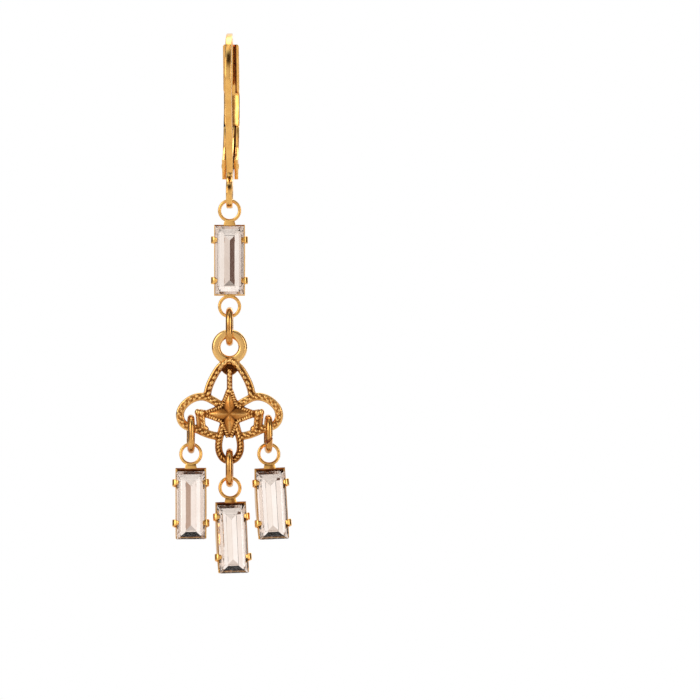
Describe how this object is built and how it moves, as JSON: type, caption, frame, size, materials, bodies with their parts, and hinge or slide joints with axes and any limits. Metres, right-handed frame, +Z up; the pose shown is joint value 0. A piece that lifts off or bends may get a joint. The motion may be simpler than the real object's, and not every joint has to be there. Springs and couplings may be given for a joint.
{
  "type": "chandelier earring",
  "caption": "Lever-back ear wire with a baguette stone in a claw cup, an openwork cast centre on an oval link, and hanging baguette drops on oval links.",
  "frame": {"origin": "inside of the hook's crown, where the ear wire hangs in the ear", "axes": "+Z up, -Y towards the viewer who faces the wearer, +X to that viewer's right"},
  "size_m": [0.012, 0.0098, 0.054],
  "materials": {
    "gold": "warm gold plate, satin",
    "cast_gold": "cast, gold plated, browned in the hollows",
    "crystal": "clear, step cut, foiled on the back"
  },
  "bodies": {
    "wire": {"ear_wire": "gold", "pivot_pin": "gold"},
    "lever_body": {"lever": "gold", "spring_leaf": "gold"},
    "upper_drop": {"upper_setting": "gold", "upper_stone": "crystal", "main_link": "gold"},
    "chandelier": {"chandelier_centre": "cast_gold", "link_left": "gold", "setting_left": "gold", "stone_left": "crystal", "link_middle": "gold", "setting_middle": "gold", "stone_middle": "crystal", "link_right": "gold", "setting_right": "gold", "stone_right": "crystal"}
  },
  "joints": [
    {"name": "lever_hinge", "type": "hinge", "parent": "wire", "child": "lever_body", "pos_m": [0, 0.00125, -0.01267], "axis": [-1, 0, 0], "range_deg": [0, 60]},
    {"name": "drop_swing", "type": "hinge", "parent": "wire", "child": "upper_drop", "pos_m": [0, -0.0007, -0.0154], "axis": [1, 0, 0], "range_deg": [-60, 60]},
    {"name": "chandelier_swing", "type": "hinge", "parent": "upper_drop", "child": "chandelier", "pos_m": [0, -0.0007, -0.0308], "axis": [0, 1, 0], "range_deg": [-60, 60]}
  ]
}
